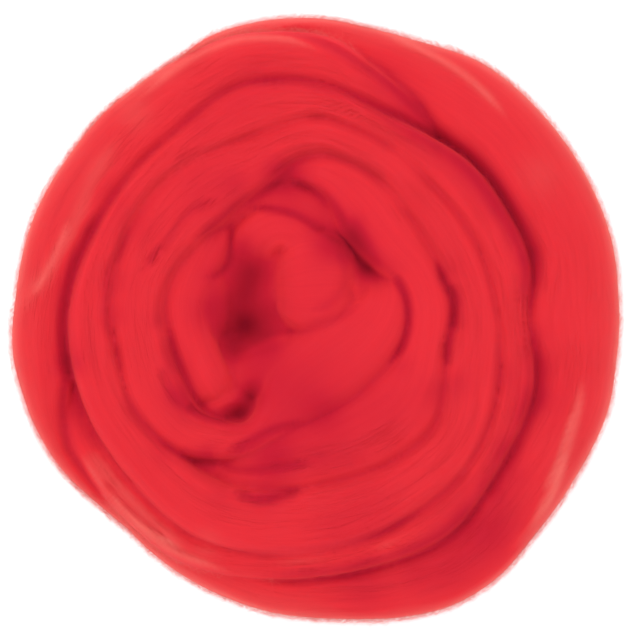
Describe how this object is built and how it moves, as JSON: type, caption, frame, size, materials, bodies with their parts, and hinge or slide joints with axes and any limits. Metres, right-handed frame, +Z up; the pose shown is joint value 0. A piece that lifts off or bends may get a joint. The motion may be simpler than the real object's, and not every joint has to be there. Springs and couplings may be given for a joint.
{
  "type": "wool roving nest",
  "caption": "Long sliver of combed wool roving wound by hand into a flat round nest, its inner end rolled into a knob.",
  "frame": {"origin": "centre of the nest's underside, on the surface it rests on", "axes": "+Z up out of the nest's open face; +X and +Y across it"},
  "size_m": [0.229, 0.2302, 0.046],
  "materials": {
    "wool": "soft matte combed wool with a faint silky lustre along the fibres"
  },
  "bodies": {
    "root": {"roving_nest": "wool"}
  },
  "joints": []
}
